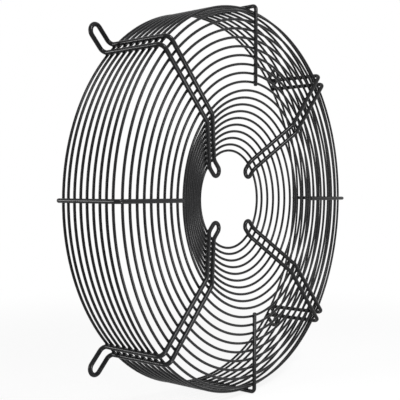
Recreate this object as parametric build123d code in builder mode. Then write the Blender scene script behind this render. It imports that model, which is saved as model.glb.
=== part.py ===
from build123d import *
from math import asin, cos, degrees, hypot, radians, sin, tan
import os

# Fan guard: a welded wire basket that covers an axial fan and carries its motor.
# The fan's axis is Y. The mounting plane, under the four feet, is Y = 0 and the
# front of the basket faces -Y. The origin is on the axis in that plane, +Z is up.

# Wires
ring_wire = 3.4
strut_wire = 5.8
spoke_wire = 5.4

# Rings on each stretch of the basket
side_rings = 9
face_rings = 10
recess_rings = 9

# Basket, measured to the middle of the strut wire
guard_depth = 102.2
corner_radius = 264.0
side_draft = 1.2
recess_radius = 145.8
recess_angle = 26.2

# Double struts, one closed wire each. Its two legs close in across the face
strut_names = ("top_right", "top_left", "bottom_left", "bottom_right")
foot_spacing = 16.8
ear_spacing = 14.6
foot_reach = 299.6
ear_clear_radius = 44.8
ear_length = 23.1

# Bends, to the middle of the wire
foot_bend = 7.0
corner_bend = 8.0
recess_bend = 10.0
ear_bend = 22.0

# Single spokes, halfway between the struts
spoke_names = ("right", "top", "left", "bottom")
spoke_bend = 5.0
spoke_tail_bend = 30.0
spoke_overhang = 5.3
spoke_rear_gap = 2.6
spoke_end_round = 1.7

# Straight wire left between a bend and the nearest ring
side_ring_setback = 4.6
face_ring_setback = 2.6
recess_ring_setback = 7.8
ear_ring_setback = 1.6

# Share of the foot's bend and of the ear's bend at which its own ring sits
foot_ring_place = 0.82
ear_ring_place = 0.6

# Where the wires lie
foot_half = foot_spacing / 2
ear_half = ear_spacing / 2
strut_seat = (ring_wire + strut_wire) / 2
spoke_seat = (ring_wire + spoke_wire) / 2
ear_start_radius = ear_clear_radius + ear_length
foot_depth = -strut_wire / 2
face_depth = strut_wire / 2 - guard_depth
ear_depth = face_depth + (recess_radius - ear_start_radius) * tan(radians(recess_angle))
side_foot_radius = corner_radius - (foot_depth - face_depth) * tan(radians(side_draft))
foot_loop_radius = foot_reach - strut_wire / 2 - foot_half
ear_loop_radius = ear_clear_radius + strut_wire / 2 + ear_half


def radial_plane(angle):
    """The plane through the fan's axis at this angle: x is outwards, y is along the axis."""
    turn = radians(angle)
    return Plane(origin=(0, 0, 0), x_dir=(cos(turn), 0, sin(turn)), z_dir=(-sin(turn), 0, cos(turn)))


def strut_leg():
    """Centre line of a strut leg, from its foot loop to its ear loop."""
    return FilletPolyline(
        (foot_loop_radius, foot_depth, foot_half),
        (side_foot_radius, foot_depth, foot_half),
        (corner_radius, face_depth, foot_half),
        (recess_radius, face_depth, ear_half),
        (ear_start_radius, ear_depth, ear_half),
        (ear_loop_radius, ear_depth, ear_half),
        radius=(foot_bend, corner_bend, recess_bend, ear_bend),
    )


def quarter_loop(centre, depth, half_spacing, outwards):
    """Quarter of a loop's bend, from a leg to the strut's middle plane."""
    slant = half_spacing * cos(radians(45))
    return ThreePointArc(
        (centre, depth, half_spacing),
        (centre + outwards * slant, depth, slant),
        (centre + outwards * half_spacing, depth, 0),
    )


def ring_seat(leg, fraction):
    """Radius and depth of the ring whose wire touches a leg here, on its inner side."""
    point = leg @ fraction
    way = leg % fraction
    radius = hypot(point.X, point.Z)
    outward_way = (way.X * point.X + way.Z * point.Z) / radius
    slope = Vector(outward_way, way.Y).normalized()
    return Vector(radius + strut_seat * slope.Y, point.Y - strut_seat * slope.X)


def export_piece(piece, name):
    """Labels one finished piece and writes its STEP file."""
    piece.part.label = name
    export_step(piece.part, f"parts/{name}.step")
    print(name, "volume", round(piece.part.volume, 1))


# One leg gives the seats of all the rings
with BuildLine(Plane.XY) as first_leg:
    strut_leg()
foot_run, foot_turn, side_run, corner_turn, face_run, recess_turn, recess_run, ear_turn, ear_run = (
    first_leg.edges().sort_by(first_leg.wire())
)

# The rearmost ring sits in the foot's bend and the innermost in the ear's bend. The others
# share each straight run evenly
ring_seats = {"side_ring_1": ring_seat(foot_turn, foot_ring_place)}

side_pitch = (side_run.length - 2 * side_ring_setback) / (side_rings - 2)
for index in range(side_rings - 1):
    place = (side_ring_setback + index * side_pitch) / side_run.length
    ring_seats[f"side_ring_{index + 2}"] = ring_seat(side_run, place)

face_pitch = (face_run.length - face_ring_setback) / (face_rings - 1)
for index in range(face_rings):
    place = (face_ring_setback + index * face_pitch) / face_run.length
    ring_seats[f"face_ring_{index + 1}"] = ring_seat(face_run, place)

recess_pitch = (recess_run.length - recess_ring_setback - ear_ring_setback) / (recess_rings - 2)
for index in range(recess_rings - 1):
    place = (recess_ring_setback + index * recess_pitch) / recess_run.length
    ring_seats[f"recess_ring_{index + 1}"] = ring_seat(recess_run, place)
ring_seats[f"recess_ring_{recess_rings}"] = ring_seat(ear_turn, ear_ring_place)

# Spoke centre line, outside the side rings and in front of the face rings. Its tail bends
# out over the rearmost ring, and its inner end hangs over the last ring but one
second_seat = ring_seats["side_ring_2"]
front_seat = ring_seats[f"side_ring_{side_rings}"]
side_way = (front_seat - second_seat).normalized()
spoke_touch = second_seat + Vector(-side_way.Y, side_way.X) * spoke_seat
spoke_face_depth = ring_seats["face_ring_1"].Y - spoke_seat
spoke_corner = spoke_touch + side_way * ((spoke_face_depth - spoke_touch.Y) / side_way.Y)
spoke_inner_radius = ring_seats[f"face_ring_{face_rings - 1}"].X - spoke_overhang

# The tail's line is the one that also touches the rearmost ring's wire
rear_seat = ring_seats["side_ring_1"]
tail_run = (spoke_touch - rear_seat).length
tail_slope = asin(spoke_seat / tail_run)
tail_way = (rear_seat - spoke_touch).normalized().rotate(Axis.Z, -degrees(tail_slope))
spoke_rear = spoke_touch + tail_way * ((-spoke_rear_gap - spoke_touch.Y) / tail_way.Y)

os.makedirs("parts", exist_ok=True)

for name, seat in ring_seats.items():
    with BuildPart() as ring:
        with BuildSketch(Plane.XY):
            with Locations((seat.X, seat.Y)):
                Circle(ring_wire / 2)
        revolve(axis=Axis.Y)
    print(name, "radius", round(seat.X, 2), "depth", round(seat.Y, 2))
    export_piece(ring, name)

for index, corner in enumerate(strut_names):
    middle = radial_plane((index + 0.5) * 360 / len(strut_names))
    with BuildPart() as strut:
        with BuildLine(middle) as half_wire:
            quarter_loop(foot_loop_radius, foot_depth, foot_half, 1)
            strut_leg()
            quarter_loop(ear_loop_radius, ear_depth, ear_half, -1)
        with BuildSketch(middle):
            with Locations((foot_loop_radius + foot_half, foot_depth)):
                Circle(strut_wire / 2)
        sweep(path=half_wire.wire())
        mirror(about=middle)
    export_piece(strut, f"strut_{corner}")

for index, side in enumerate(spoke_names):
    with BuildPart() as spoke:
        with BuildLine(radial_plane(index * 360 / len(spoke_names))) as spoke_line:
            FilletPolyline(
                (spoke_rear.X, spoke_rear.Y),
                (spoke_touch.X, spoke_touch.Y),
                (spoke_corner.X, spoke_corner.Y),
                (spoke_inner_radius, spoke_face_depth),
                radius=(spoke_tail_bend, spoke_bend),
            )
        with BuildSketch(Plane(spoke_line.wire() @ 0, z_dir=spoke_line.wire() % 0)):
            Circle(spoke_wire / 2)
        sweep(path=spoke_line.wire())
        fillet(spoke.faces().filter_by(GeomType.PLANE).edges(), radius=spoke_end_round)
    export_piece(spoke, f"spoke_{side}")
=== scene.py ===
# %% [markdown]
# # Wire fan guard
# This guard is the basket that covers an axial fan. It is made of nothing but round steel wire:
# rings for the grille, four bent double struts that carry them, and four single spokes between
# the struts. Every wire is bent, spot welded where it crosses another, and coated black.
# The construction model is loaded first. It fixes where each wire lies, and what follows gives
# the wires their smooth bends, their welds and their coating.

# %% Load the construction model
import bmesh
import bpy
import random
from math import asin, ceil, cos, pi, radians, sin, tan
from mathutils import Matrix, Vector
from mathutils.bvhtree import BVHTree


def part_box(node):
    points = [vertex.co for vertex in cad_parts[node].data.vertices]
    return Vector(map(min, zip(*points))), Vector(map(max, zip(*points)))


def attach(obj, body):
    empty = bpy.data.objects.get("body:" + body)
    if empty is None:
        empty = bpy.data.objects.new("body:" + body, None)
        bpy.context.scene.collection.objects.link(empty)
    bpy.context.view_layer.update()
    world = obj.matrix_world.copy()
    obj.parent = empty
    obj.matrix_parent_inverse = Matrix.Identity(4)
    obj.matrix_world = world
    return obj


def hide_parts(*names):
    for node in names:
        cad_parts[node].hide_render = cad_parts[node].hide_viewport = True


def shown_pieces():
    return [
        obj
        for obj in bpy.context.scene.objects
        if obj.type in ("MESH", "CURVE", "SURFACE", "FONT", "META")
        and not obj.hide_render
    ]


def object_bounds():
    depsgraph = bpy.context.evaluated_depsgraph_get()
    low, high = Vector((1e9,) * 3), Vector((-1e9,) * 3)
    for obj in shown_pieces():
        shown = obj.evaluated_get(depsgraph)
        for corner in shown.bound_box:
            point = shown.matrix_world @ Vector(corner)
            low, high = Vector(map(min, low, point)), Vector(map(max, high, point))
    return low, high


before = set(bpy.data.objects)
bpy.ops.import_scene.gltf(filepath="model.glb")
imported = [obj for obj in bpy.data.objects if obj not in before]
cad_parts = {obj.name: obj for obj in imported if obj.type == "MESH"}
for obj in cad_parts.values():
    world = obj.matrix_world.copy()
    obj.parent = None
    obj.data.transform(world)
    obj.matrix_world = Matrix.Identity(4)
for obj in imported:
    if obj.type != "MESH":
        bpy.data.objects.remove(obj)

cad_low, cad_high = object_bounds()
print("construction box, metres:", [round(v, 4) for v in cad_high - cad_low])

# %% [markdown]
# ## The sizes of the wires
# The fan's axis is Y, the front of the basket faces -Y and the feet end in the plane Y = 0.
# Each ring's radius and depth are read from the model, so they need no numbers here. The
# struts and spokes are formed by bending, so they need the bender's sizes, in metres: where a
# wire turns, and round how large a pin.

# %% Sizes of the wires
ring_wire = 0.0034
strut_wire = 0.0058
spoke_wire = 0.0054

guard_depth = 0.1022
corner_radius = 0.2640
side_draft = radians(1.2)
recess_radius = 0.1458
recess_slope = radians(26.2)
foot_half_spacing = 0.0084
ear_half_spacing = 0.0073
foot_reach = 0.2996
ear_start_radius = 0.0679
ear_clear_radius = 0.0448

foot_bend = 0.0070
corner_bend = 0.0080
recess_bend = 0.0100
ear_bend = 0.0220
spoke_bend = 0.0050
spoke_tail_bend = 0.0300
spoke_rear_gap = 0.0026
spoke_end_round = 0.0017

strut_angles = {"top_right": 45, "top_left": 135, "bottom_left": 225, "bottom_right": 315}
spoke_angles = {"right": 0, "top": 90, "left": 180, "bottom": 270}
ring_names = sorted(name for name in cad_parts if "ring" in name)
print(len(ring_names), "rings,", len(strut_angles), "struts,", len(spoke_angles), "spokes")

# %% [markdown]
# ## Where each ring lies
# A ring's box gives its radius and its depth: the wire's middle is half a wire inside the
# outer edge, and halfway between front and back.

# %% Measure the rings
ring_places = {}
for name in ring_names:
    low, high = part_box(name)
    ring_places[name] = (high.x - ring_wire / 2, (low.y + high.y) / 2)
radii = sorted(radius for radius, depth in ring_places.values())
print("smallest and largest ring radius, metres:", round(radii[0], 4), round(radii[-1], 4))

# %% [markdown]
# ## Bending wire
# Guard wire is formed cold. A machine feeds it straight ahead, then swings its end round a pin,
# and so on until the shape is closed. A mesh can be made by the same two moves: extruding the
# open end is the feed, and spinning it round the pin's centre is the bend. A curve with a round
# bevel would also make a tube, but the two moves keep the section truly round in a bend, put
# faces only where the wire turns, and let each corner of the section remember its place on the
# wire. That place is kept as an attribute, and the coating later reads it.

# %% Feed and bend
wire_sides = 16
bend_step = radians(9)
least_feed = ring_wire / 100


def open_end(edges):
    """The open end of a wire, as what the next move carries on."""
    return edges + list({vert for edge in edges for vert in edge.verts})


def start_wire(place, heading, thickness):
    """A new wire's open end: a circle at a place, square to its heading."""
    bm = bmesh.new()
    section = bm.verts.layers.float_vector.new("section_place")
    bmesh.ops.create_circle(bm, cap_ends=False, radius=thickness / 2, segments=wire_sides)
    for vert in bm.verts:
        vert[section] = vert.co
    turn = heading.to_track_quat("Z", "Y").to_matrix().to_4x4()
    bmesh.ops.transform(bm, matrix=Matrix.Translation(place) @ turn, verts=bm.verts)
    return bm, list(bm.edges)


def feed(bm, end, way):
    """Pushes the wire's open end straight ahead, and returns the new open end."""
    if way.length < least_feed:
        return end
    made = bmesh.ops.extrude_edge_only(bm, edges=end)["geom"]
    moved = {item for item in made if isinstance(item, bmesh.types.BMVert)}
    bmesh.ops.translate(bm, vec=way, verts=list(moved))
    made_edges = [item for item in made if isinstance(item, bmesh.types.BMEdge)]
    return [edge for edge in made_edges if moved.issuperset(edge.verts)]


def bend(bm, end, pin, axis, angle):
    """Swings the wire's open end round a pin, and returns the new open end."""
    steps = max(2, ceil(angle / bend_step))
    made = bmesh.ops.spin(
        bm, geom=open_end(end), cent=pin, axis=axis, angle=angle, steps=steps,
    )
    return [item for item in made["geom_last"] if isinstance(item, bmesh.types.BMEdge)]


print("a right angle is bent in", ceil(radians(90) / bend_step), "steps")

# %% [markdown]
# ## From corners to bends
# A strut is easiest to describe by the corners where its straight stretches would meet. The
# wire leaves each straight a little before the corner and joins the next one a little after
# it. That setback is the pin's radius times the tangent of half the turn, and the pin stands
# square to the wire, on the inner side of the turn.

# %% Form a wire along its corners
def form_wire(start, corners, stop, thickness):
    """Feeds and bends a wire. Each of its corners is a place and the radius of its pin."""
    here = start
    heading = (corners[0][0] - start).normalized()
    bm, end = start_wire(start, heading, thickness)
    first_end = list(end)
    ahead = [place for place, pin_radius in corners[1:]] + [stop]
    for (corner, pin_radius), target in zip(corners, ahead):
        onward = (target - corner).normalized()
        turn = heading.angle(onward)
        axis = heading.cross(onward).normalized()
        setback = pin_radius * tan(turn / 2)
        bend_start = corner - heading * setback
        end = feed(bm, end, bend_start - here)
        end = bend(bm, end, bend_start + axis.cross(heading) * pin_radius, axis, turn)
        here = corner + onward * setback
        heading = onward
    end = feed(bm, end, stop - here)
    return bm, first_end, end


def radial_turn(angle):
    """Turns a shape made in the plane of X and Y to its angle about the fan's axis."""
    return Matrix.Rotation(-radians(angle), 4, "Y")


# %% [markdown]
# ## Finishing a wire's mesh
# Where a wire closes on itself, its two ends lie on each other and are merged into one. Spins
# can leave a mesh inside out, so the normals are worked out again. The new wire then takes
# the place of the construction model's wire and rides on the same body.

# %% Place a finished wire
merge_distance = ring_wire / 1000


def place_piece(bm, name, *nodes):
    """Makes an object of a finished mesh. It stands for the construction nodes named."""
    bmesh.ops.remove_doubles(bm, verts=bm.verts, dist=merge_distance)
    bmesh.ops.recalc_face_normals(bm, faces=bm.faces)
    for face in bm.faces:
        face.smooth = True
    mesh = bpy.data.meshes.new(name)
    bm.to_mesh(mesh)
    bm.free()
    piece = bpy.data.objects.new(name, mesh)
    bpy.context.scene.collection.objects.link(piece)
    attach(piece, "root")
    if nodes:
        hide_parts(*nodes)
    return piece


# %% [markdown]
# ## The rings
# A ring is one wire rolled into a circle and butt welded. Its section is spun once round the
# fan's axis, and the last copy of the section is merged with the first. The steps are small
# enough that the largest ring shows no corners.

# %% Roll the rings
ring_steps = 160
for name, (radius, depth) in ring_places.items():
    bm, end = start_wire(Vector((radius, depth, 0)), Vector((0, 0, 1)), ring_wire)
    bmesh.ops.spin(
        bm, geom=open_end(end), cent=(0, depth, 0), axis=(0, -1, 0), angle=2 * pi,
        steps=ring_steps, use_merge=True,
    )
    ring = place_piece(bm, f"{name}_wire", name)
print("faces in one ring:", len(ring.data.polygons))

# %% [markdown]
# ## The double struts
# A strut is one closed wire with two legs side by side. It starts in the middle of the foot's
# loop and runs in to the side wall, forward along it, over the front corner, in across the
# face, back down the recess, flat again for the motor's ear and round the ear's loop. The
# other leg is the same way back. Each loop is a half circle, which is two right angles bent
# round pins of half the legs' spacing. The legs close in a little across the face, because the
# ear's loop is narrower than the foot's.

# %% Bend the struts
foot_depth = -strut_wire / 2
face_depth = strut_wire / 2 - guard_depth
ear_depth = face_depth + (recess_radius - ear_start_radius) * tan(recess_slope)
side_foot_radius = corner_radius - (foot_depth - face_depth) * tan(side_draft)
foot_tip = foot_reach - strut_wire / 2
ear_tip = ear_clear_radius + strut_wire / 2

near_leg = [
    (Vector((foot_tip, foot_depth, foot_half_spacing)), foot_half_spacing),
    (Vector((side_foot_radius, foot_depth, foot_half_spacing)), foot_bend),
    (Vector((corner_radius, face_depth, foot_half_spacing)), corner_bend),
    (Vector((recess_radius, face_depth, ear_half_spacing)), recess_bend),
    (Vector((ear_start_radius, ear_depth, ear_half_spacing)), ear_bend),
    (Vector((ear_tip, ear_depth, ear_half_spacing)), ear_half_spacing),
]
other_side = Vector((1, 1, -1))
far_leg = [(place * other_side, pin_radius) for place, pin_radius in reversed(near_leg)]
foot_middle = Vector((foot_tip, foot_depth, 0))

carriers = {}
for corner, angle in strut_angles.items():
    bm, first_end, last_end = form_wire(foot_middle, near_leg + far_leg, foot_middle, strut_wire)
    bmesh.ops.transform(bm, matrix=radial_turn(angle), verts=bm.verts)
    carriers[f"strut_{corner}"] = (angle, (1, -1), BVHTree.FromBMesh(bm))
    strut = place_piece(bm, f"strut_{corner}_wire", f"strut_{corner}")
print("faces in one strut:", len(strut.data.polygons))

# %% [markdown]
# ## The single spokes
# A spoke lies outside the side rings and in front of the face rings, so it is bent square at
# the front corner. Its tail leans out over the rearmost ring, which sits in the struts' foot
# bend. Its two ends are cut off and their rims are tumbled round: each end gets a flat cap,
# and the cap's rim is bevelled.

# %% Find where a spoke's line runs
low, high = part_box("spoke_right")
rear_place = Vector((*ring_places["side_ring_1"], 0))
second_place = Vector((*ring_places["side_ring_2"], 0))
front_place = Vector((*ring_places["side_ring_9"], 0))
spoke_seat = (ring_wire + spoke_wire) / 2

side_way = (front_place - second_place).normalized()
spoke_touch = second_place + Vector((-side_way.y, side_way.x, 0)) * spoke_seat
spoke_face_depth = low.y + spoke_wire / 2
spoke_corner = spoke_touch + side_way * ((spoke_face_depth - spoke_touch.y) / side_way.y)
spoke_stop = Vector((low.x, spoke_face_depth, 0))

tail = rear_place - spoke_touch
tail_lean = asin(spoke_seat / tail.length)
tail_way = Matrix.Rotation(-tail_lean, 3, "Z") @ tail.normalized()
spoke_rear = spoke_touch + tail_way * ((-spoke_rear_gap - spoke_touch.y) / tail_way.y)
spoke_corners = [(spoke_touch, spoke_tail_bend), (spoke_corner, spoke_bend)]
print("radius of a spoke's two ends, metres:", round(spoke_rear.x, 4), round(spoke_stop.x, 4))

# %% [markdown]
# ## Bending the spokes
# All four are the same wire, bent once in the plane of X and Y and turned to their places. The
# rims are rounded before the turn, while both ends are still at hand.

# %% Bend the spokes
rim_segments = 4
for side, angle in spoke_angles.items():
    bm, first_end, last_end = form_wire(spoke_rear, spoke_corners, spoke_stop, spoke_wire)
    for rim in (first_end, last_end):
        bmesh.ops.edgeloop_fill(bm, edges=rim)
    bmesh.ops.bevel(
        bm, geom=first_end + last_end, offset=spoke_end_round, offset_type="OFFSET",
        segments=rim_segments, profile=0.5, affect="EDGES", material=-1, clamp_overlap=True,
    )
    bmesh.ops.transform(bm, matrix=radial_turn(angle), verts=bm.verts)
    carriers[f"spoke_{side}"] = (angle, (0,), BVHTree.FromBMesh(bm))
    spoke = place_piece(bm, f"spoke_{side}_wire", f"spoke_{side}")
print("faces in one spoke:", len(spoke.data.polygons))

# %% [markdown]
# ## One weld
# Each crossing is a resistance weld: two electrodes press the wires together, the contact melts
# and a little metal is squeezed out round it. What the coating leaves is a small soft bead in
# the notch between the two wires. A bead is a squashed ball, set on the point where the ring
# touches the wire that carries it, and no two are quite the same size. There are hundreds, so
# each has only a few dozen faces.

# %% Squash a weld bead
bead_along_ring = 0.0026
bead_along_carrier = 0.0021
bead_thickness = 0.0012
bead_spread = 0.12
bead_segments = 10
bead_bands = 6
bead_seed = 7
dice = random.Random(bead_seed)


def set_bead(bm, contact, outward, along_ring):
    """One weld bead at a contact, squashed between the ring and the wire outward of it."""
    along_carrier = outward.cross(along_ring)
    size = 1 + bead_spread * (2 * dice.random() - 1)
    half_axes = Matrix((
        along_ring * bead_along_ring,
        along_carrier * bead_along_carrier,
        outward * bead_thickness,
    ))
    matrix = Matrix.Translation(contact) @ (half_axes.transposed() * size).to_4x4()
    bmesh.ops.create_uvsphere(
        bm, u_segments=bead_segments, v_segments=bead_bands, radius=1, matrix=matrix,
    )


print("a bead is about", round(2 * bead_along_ring, 4), "metres long")

# %% [markdown]
# ## Where the welds are
# A ring crosses a spoke at the spoke's own angle, and a strut's leg a little to one side of
# the strut's middle. The nearest point of the carrying wire to the ring's middle line is the
# contact. Where it is further away than the ring's own wire reaches, there is no crossing and
# no weld.

# %% Set a bead at each crossing
contact_slack = 0.0004


def leg_offset(radius):
    """How far a strut's leg is from the strut's middle where it crosses a ring."""
    share = (radius - recess_radius) / (corner_radius - recess_radius)
    return ear_half_spacing + min(max(share, 0), 1) * (foot_half_spacing - ear_half_spacing)


bead_count = 0
for carrier, (angle, legs, tree) in carriers.items():
    bm = bmesh.new()
    for radius, depth in ring_places.values():
        for leg in legs:
            turn = radians(angle) + asin(leg * leg_offset(radius) / radius)
            middle = Vector((radius * cos(turn), depth, radius * sin(turn)))
            contact, normal, index, distance = tree.find_nearest(middle)
            if distance > ring_wire / 2 + contact_slack:
                continue
            along_ring = Vector((-sin(turn), 0, cos(turn)))
            outward = (contact - middle).normalized()
            outward = (outward - along_ring * outward.dot(along_ring)).normalized()
            set_bead(bm, contact, outward, along_ring)
            bead_count += 1
    place_piece(bm, f"{carrier}_welds")
print(bead_count, "weld beads")

# %% [markdown]
# ## Nodes by name
# The coating, the floor and the world are each built from a few kinds of nodes. A helper for
# each kind keeps its settings in one place: a named input on a group, a sum on two values, and
# a noise pattern read at a place.

# %% Node helpers
def add_input(group, name, kind, value):
    """One named input on a node group."""
    socket = group.interface.new_socket(name=name, in_out="INPUT", socket_type=kind)
    socket.default_value = value


def math_node(tree, operation, first, second):
    """A Math node. Each operand is a number or another node's socket."""
    node = tree.nodes.new("ShaderNodeMath")
    node.operation = operation
    for slot, operand in zip(node.inputs, (first, second)):
        if isinstance(operand, (int, float)):
            slot.default_value = operand
        else:
            tree.links.new(operand, slot)
    return node.outputs[0]


def noise_node(tree, vector, scale, detail):
    """A Noise texture's value on a vector. Its scale is a number or another node's socket."""
    node = tree.nodes.new("ShaderNodeTexNoise")
    node.inputs["Detail"].default_value = detail
    if isinstance(scale, (int, float)):
        node.inputs["Scale"].default_value = scale
    else:
        tree.links.new(scale, node.inputs["Scale"])
    tree.links.new(vector, node.inputs["Vector"])
    return node.outputs["Fac"]


# %% [markdown]
# ## The coating's pattern
# Black coating on drawn wire is never one flat grey. It is a little uneven like orange peel, it
# lets fine lengthwise drawing lines through, and its sheen changes softly from place to place.
# One node group makes all three for every wire. Its peel comes from Object coordinates, so it
# runs through without a seam. Its drawing lines come from the section place that each wire
# remembers, which is the same all along the wire, so the lines follow every bend.

# %% Make the coating group
coating_inputs = (
    ("Dark Colour", "NodeSocketColor", (0.005, 0.005, 0.0055, 1)),
    ("Light Colour", "NodeSocketColor", (0.010, 0.010, 0.0105, 1)),
    ("Roughness Low", "NodeSocketFloat", 0.35),
    ("Roughness High", "NodeSocketFloat", 0.5),
    ("Peel Scale", "NodeSocketFloat", 500),
    ("Line Scale", "NodeSocketFloat", 1800),
    ("Line Share", "NodeSocketFloat", 0.4),
)
coating_outputs = (
    ("Color", "NodeSocketColor"),
    ("Roughness", "NodeSocketFloat"),
    ("Height", "NodeSocketFloat"),
)
peel_detail = 2
line_detail = 3
drift_detail = 2
drift_scale = 35
drift_share = 0.6
peel_share = 0.4


def make_coating_group():
    """Colour, roughness and height of black coating on drawn wire."""
    group = bpy.data.node_groups.new("wire_coating", "ShaderNodeTree")
    for name, kind, value in coating_inputs:
        add_input(group, name, kind, value)
    for name, kind in coating_outputs:
        group.interface.new_socket(name=name, in_out="OUTPUT", socket_type=kind)

    taken = group.nodes.new("NodeGroupInput").outputs
    given = group.nodes.new("NodeGroupOutput").inputs
    place = group.nodes.new("ShaderNodeTexCoord").outputs["Object"]
    section = group.nodes.new("ShaderNodeAttribute")
    section.attribute_name = "section_place"

    peel = noise_node(group, place, taken["Peel Scale"], peel_detail)
    lines = noise_node(group, section.outputs["Vector"], taken["Line Scale"], line_detail)
    drift = noise_node(group, place, drift_scale, drift_detail)

    colour = group.nodes.new("ShaderNodeMix")
    colour.data_type = "RGBA"
    group.links.new(drift, colour.inputs["Factor"])
    group.links.new(taken["Dark Colour"], colour.inputs["A"])
    group.links.new(taken["Light Colour"], colour.inputs["B"])
    group.links.new(colour.outputs["Result"], given["Color"])

    soft_part = math_node(group, "MULTIPLY", drift, drift_share)
    fine_part = math_node(group, "MULTIPLY", peel, peel_share)
    patch = math_node(group, "ADD", soft_part, fine_part)
    spread = math_node(group, "SUBTRACT", taken["Roughness High"], taken["Roughness Low"])
    rise = math_node(group, "MULTIPLY", patch, spread)
    roughness = math_node(group, "ADD", taken["Roughness Low"], rise)
    group.links.new(roughness, given["Roughness"])

    line_height = math_node(group, "MULTIPLY", lines, taken["Line Share"])
    group.links.new(math_node(group, "ADD", peel, line_height), given["Height"])
    return group


coating_group = make_coating_group()
print("the coating group takes", len(coating_inputs), "values")

# %% [markdown]
# ## The three coatings
# The rings are thin wire and take a thin, even coat. The struts and spokes are thicker, drawn
# coarser and catch more light along their length. On a weld the coat has pooled in the notch,
# so it has no drawing lines. All three are the same black, with the group's values set for
# each, and the shader stays in the material.

# %% Make the coatings
coating_gloss = 0.14
bump_height = 0.00005


def make_coating(name, roughness, peel_scale, line_share, bump_strength):
    """A black coating. Roughness is its lowest and highest value."""
    material = bpy.data.materials.new(name)
    material.use_nodes = True
    tree = material.node_tree
    shader = tree.nodes["Principled BSDF"]
    shader.inputs["Specular IOR Level"].default_value = coating_gloss
    pattern = tree.nodes.new("ShaderNodeGroup")
    pattern.node_tree = coating_group
    pattern.inputs["Roughness Low"].default_value = roughness[0]
    pattern.inputs["Roughness High"].default_value = roughness[1]
    pattern.inputs["Peel Scale"].default_value = peel_scale
    pattern.inputs["Line Share"].default_value = line_share
    bump = tree.nodes.new("ShaderNodeBump")
    bump.inputs["Strength"].default_value = bump_strength
    bump.inputs["Distance"].default_value = bump_height
    tree.links.new(pattern.outputs["Color"], shader.inputs["Base Color"])
    tree.links.new(pattern.outputs["Roughness"], shader.inputs["Roughness"])
    tree.links.new(pattern.outputs["Height"], bump.inputs["Height"])
    tree.links.new(bump.outputs["Normal"], shader.inputs["Normal"])
    return material


ring_coating = make_coating(
    "ring_coating", roughness=(0.22, 0.32), peel_scale=700, line_share=0.3, bump_strength=0.05,
)
strut_coating = make_coating(
    "strut_coating", roughness=(0.18, 0.26), peel_scale=450, line_share=0.5, bump_strength=0.1,
)
weld_coating = make_coating(
    "weld_coating", roughness=(0.20, 0.30), peel_scale=350, line_share=0.0, bump_strength=0.1,
)
print("coatings:", ring_coating.name, strut_coating.name, weld_coating.name)

# %% [markdown]
# ## Coating the guard
# The real guard is coated whole, after welding. Here each piece takes the coating that suits
# its wire, and its name says which wire it is.

# %% Coat each piece
pieces = [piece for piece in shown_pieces() if piece.type == "MESH"]
for piece in pieces:
    piece.data.materials.clear()
    if piece.name.endswith("_welds"):
        piece.data.materials.append(weld_coating)
    elif "ring" in piece.name:
        piece.data.materials.append(ring_coating)
    else:
        piece.data.materials.append(strut_coating)
print(len(pieces), "pieces coated")

# %% [markdown]
# ## The floor
# The guard is photographed on plain white. The floor is a wide disc just under the lowest wire.
# It only carries the guard's shadow, so it is part of the stage and not of the guard.

# %% Lay the floor
floor_radius = 6.0
floor_segments = 96
floor_gap = 0.0005
bm = bmesh.new()
bmesh.ops.create_circle(bm, cap_ends=True, radius=floor_radius, segments=floor_segments)
floor_mesh = bpy.data.meshes.new("floor")
bm.to_mesh(floor_mesh)
bm.free()
floor = bpy.data.objects.new("floor", floor_mesh)
bpy.context.scene.collection.objects.link(floor)
floor.location = (0, 0, cad_low.z - floor_gap)
print("floor at height", round(floor.location.z, 4))

# %% [markdown]
# ## White ground without losing the shadow
# The floor is pale and lit like the guard, so it takes the guard's soft shadow. To the camera
# most of its light near the guard is a plain white glow, and further out all of it is, so its
# far edge melts into the white world behind. Light Path tells which rays see the ground itself,
# and only those get the glow.

# %% Paint the floor
floor_paint = (0.9, 0.9, 0.9, 1)
floor_roughness = 0.9
floor_glow = 0.85
shadow_reach = 0.40
white_reach = 1.10


def white_to_the_eye(tree):
    """1 for rays that show the ground itself: seen, mirrored or through glass."""
    rays = tree.nodes.new("ShaderNodeLightPath").outputs
    seen = math_node(tree, "MAXIMUM", rays["Is Camera Ray"], rays["Is Glossy Ray"])
    return math_node(tree, "MAXIMUM", seen, rays["Is Transmission Ray"])


floor_material = bpy.data.materials.new("pale_floor")
floor_material.use_nodes = True
tree = floor_material.node_tree
paint = tree.nodes["Principled BSDF"]
paint.inputs["Base Color"].default_value = floor_paint
paint.inputs["Roughness"].default_value = floor_roughness
paint.inputs["Specular IOR Level"].default_value = 0

place = tree.nodes.new("ShaderNodeTexCoord").outputs["Object"]
reach = tree.nodes.new("ShaderNodeVectorMath")
reach.operation = "LENGTH"
tree.links.new(place, reach.inputs[0])
melt = tree.nodes.new("ShaderNodeMapRange")
melt.interpolation_type = "SMOOTHSTEP"
melt.inputs["From Min"].default_value = shadow_reach
melt.inputs["From Max"].default_value = white_reach
melt.inputs["To Min"].default_value = floor_glow
melt.inputs["To Max"].default_value = 1
tree.links.new(reach.outputs["Value"], melt.inputs["Value"])

glow = tree.nodes.new("ShaderNodeEmission")
blend = tree.nodes.new("ShaderNodeMixShader")
glow_share = math_node(tree, "MULTIPLY", white_to_the_eye(tree), melt.outputs["Result"])
tree.links.new(glow_share, blend.inputs["Fac"])
tree.links.new(paint.outputs["BSDF"], blend.inputs[1])
tree.links.new(glow.outputs["Emission"], blend.inputs[2])
tree.links.new(blend.outputs["Shader"], tree.nodes["Material Output"].inputs["Surface"])
floor_mesh.materials.append(floor_material)
print("the floor is all white from", white_reach, "metres out")

# %% [markdown]
# ## The white world
# The world is white to the camera and in reflections. To everything else it is a plain paler
# light from all sides, which fills the shadows.

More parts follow.
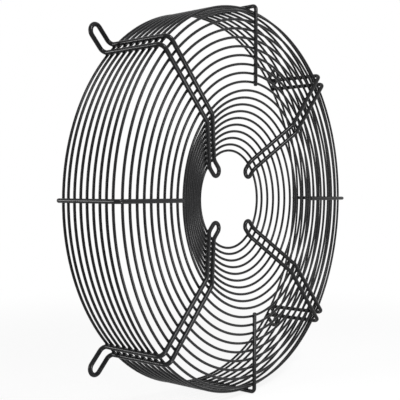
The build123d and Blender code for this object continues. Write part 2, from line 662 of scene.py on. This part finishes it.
# %% Light the world
world_light = 0.55
white = (1, 1, 1, 1)
world = bpy.data.worlds.new("white_studio")
bpy.context.scene.world = world
world.use_nodes = True
tree = world.node_tree
ambient = tree.nodes["Background"]
ambient.inputs["Color"].default_value = white
ambient.inputs["Strength"].default_value = world_light
ground = tree.nodes.new("ShaderNodeBackground")
ground.inputs["Color"].default_value = white
blend = tree.nodes.new("ShaderNodeMixShader")
tree.links.new(white_to_the_eye(tree), blend.inputs["Fac"])
tree.links.new(ambient.outputs["Background"], blend.inputs[1])
tree.links.new(ground.outputs["Background"], blend.inputs[2])
tree.links.new(blend.outputs["Shader"], tree.nodes["World Output"].inputs["Surface"])
print("world light", world_light)

# %% [markdown]
# ## The lamps
# Black wire shows its form only by the lamps that it mirrors: each straight stretch shows a
# thin light line along its middle where a lamp stands opposite. One softbox behind on the left
# draws that line on the side wall's wires. A small one high in front of the guard and a smaller
# one low in front draw it on the struts' legs over the face and on the ears, as in the
# photograph, where the feet stay dark.

# %% Hang the lamps
guard_middle = (cad_low + cad_high) / 2


def hang_lamp(name, place, width, power):
    """A square soft lamp that points at the middle of the guard."""
    light = bpy.data.lights.new(name, "AREA")
    light.shape = "SQUARE"
    light.size = width
    light.energy = power
    lamp = bpy.data.objects.new(name, light)
    lamp.location = place
    aim = guard_middle - Vector(place)
    lamp.rotation_euler = aim.to_track_quat("-Z", "Y").to_euler()
    bpy.context.scene.collection.objects.link(lamp)
    return lamp


lamps = [
    hang_lamp("side_softbox", place=(-1.5, 1.25, 0.1), width=0.5, power=18),
    hang_lamp("high_softbox", place=(-0.25, -0.75, 0.60), width=0.3, power=8),
    hang_lamp("low_softbox", place=(-0.17, -0.41, -0.20), width=0.16, power=1.6),
]
print("lamps, watts:", [round(lamp.data.energy, 1) for lamp in lamps])

# %% [markdown]
# ## The camera
# The camera's place comes from the photograph: the rings are true circles, so the ellipses that
# they make fix where the lens stood, how long it was and how the picture was cropped. The lens
# was level with the fan's axis and about a metre away, to the left of the guard's front. The
# crop is a shift of the lens, so the rings keep the shape that the lens gave them.

# %% Place the camera
camera_azimuth = radians(-56.114)
camera_elevation = radians(0.787)
camera_roll = radians(0.241)
camera_place = Vector((-0.84278, -0.66050, 0.01341))
picture_size = 400
focal_pixels = 741.07
axis_pixel = (252.24, 199.86)
sensor = 36.0

back = Vector((
    sin(camera_azimuth) * cos(camera_elevation),
    -cos(camera_azimuth) * cos(camera_elevation),
    sin(camera_elevation),
))
lens = bpy.data.cameras.new("camera")
lens.sensor_width = sensor
lens.lens = focal_pixels * sensor / picture_size
lens.shift_x = (picture_size / 2 - axis_pixel[0]) / picture_size
lens.shift_y = (axis_pixel[1] - picture_size / 2) / picture_size
camera = bpy.data.objects.new("camera", lens)
camera.location = camera_place
camera.rotation_mode = "QUATERNION"
aim = (-back).to_track_quat("-Z", "Y")
camera.rotation_quaternion = aim @ Matrix.Rotation(camera_roll, 3, "Z").to_quaternion()
bpy.context.scene.collection.objects.link(camera)
bpy.context.scene.camera = camera
bpy.context.scene.view_settings.view_transform = "Standard"
print("lens", round(lens.lens, 2), "mm, shift", round(lens.shift_x, 4), round(lens.shift_y, 4))
